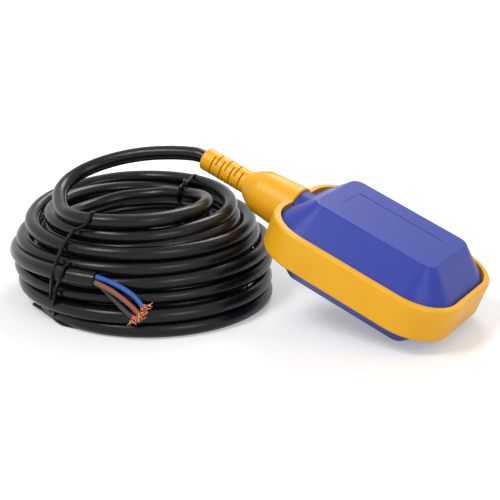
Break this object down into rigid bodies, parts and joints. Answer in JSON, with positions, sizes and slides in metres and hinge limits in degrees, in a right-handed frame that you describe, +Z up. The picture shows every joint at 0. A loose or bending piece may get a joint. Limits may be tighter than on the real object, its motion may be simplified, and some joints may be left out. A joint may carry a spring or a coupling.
{
  "type": "cable float switch",
  "caption": "Level float switch: yellow framed blue plastic float with a slotted strain relief, on a coiled black cable tied up and bared at its end.",
  "frame": {"origin": "on the surface that the switch lies on, under the middle of the float", "axes": "+X towards the float's nose and away from the coil, +Y to the float's left seen from the neck, +Z up"},
  "size_m": [0.2474, 0.1444, 0.078],
  "materials": {
    "yellow_plastic": "satin moulded",
    "blue_plastic": "satin, finely mottled",
    "seal_rubber": "matt",
    "white_plastic": "moulded",
    "screw_steel": "zinc plated",
    "ball_steel": "polished",
    "switch_plastic": "moulded",
    "spring_steel": "rolled strip",
    "plunger_plastic": "moulded",
    "contact_brass": "stamped",
    "resin": "cast",
    "black_jacket": "glossy extruded",
    "tie_plastic": "satin",
    "blue_insulation": "satin",
    "brown_insulation": "satin",
    "black_insulation": "satin",
    "copper": "bare copper strands"
  },
  "bodies": {
    "root": {"cable_clamp": "white_plastic", "cable_coil": "black_jacket", "cable_in_neck": "black_jacket", "cable_lead": "black_jacket", "cable_tail": "black_jacket", "cage_base": "white_plastic", "cage_cover": "white_plastic", "cage_screws": "screw_steel", "clamp_screws": "screw_steel", "closed_terminal": "contact_brass", "common_terminal": "contact_brass", "core_black": "black_insulation", "core_blue": "blue_insulation", "core_brown": "brown_insulation", "cover_screws": "screw_steel", "float_frame": "yellow_plastic", "inner_core_black": "black_insulation", "inner_core_blue": "blue_insulation", "inner_core_brown": "brown_insulation", "lever_pin": "spring_steel", "lower_seal": "seal_rubber", "lower_shell": "blue_plastic", "open_terminal": "contact_brass", "sealing_resin": "resin", "strands_black": "copper", "strands_blue": "copper", "strands_brown": "copper", "switch_case": "switch_plastic", "switch_cover": "switch_plastic", "switch_screws": "screw_steel", "tie_back": "tie_plastic", "tie_front": "tie_plastic", "upper_seal": "seal_rubber", "upper_shell": "blue_plastic"},
    "ball": {"steel_ball": "ball_steel"},
    "lever": {"switch_lever": "spring_steel"},
    "plunger": {"switch_plunger": "plunger_plastic"},
    "blade": {"contact_blade": "contact_brass"}
  },
  "joints": [
    {"name": "ball_roll", "type": "slide", "parent": "root", "child": "ball", "axis": [-0.9342, 0, 0.3567], "range_m": [0, 0.026]},
    {"name": "lever_press", "type": "hinge", "parent": "root", "child": "lever", "pos_m": [0.01949, -0.0108, 0.03461], "axis": [0.3567, 0, 0.9342], "range_deg": [0, 8.4]},
    {"name": "plunger_press", "type": "slide", "parent": "root", "child": "plunger", "axis": [-0.9342, 0, 0.3567], "range_m": [0, 0.001]},
    {"name": "blade_flip", "type": "hinge", "parent": "root", "child": "blade", "pos_m": [0.01399, -0.00705, 0.03672], "axis": [0.3567, 0, 0.9342], "range_deg": [0, 7.9]}
  ],
  "couplings": [
    {"joint": "lever_press", "follows": "ball_roll", "rad_per_m": 5.6387},
    {"joint": "plunger_press", "follows": "ball_roll", "ratio": 0.03846},
    {"joint": "blade_flip", "follows": "ball_roll", "rad_per_m": 5.3031}
  ]
}
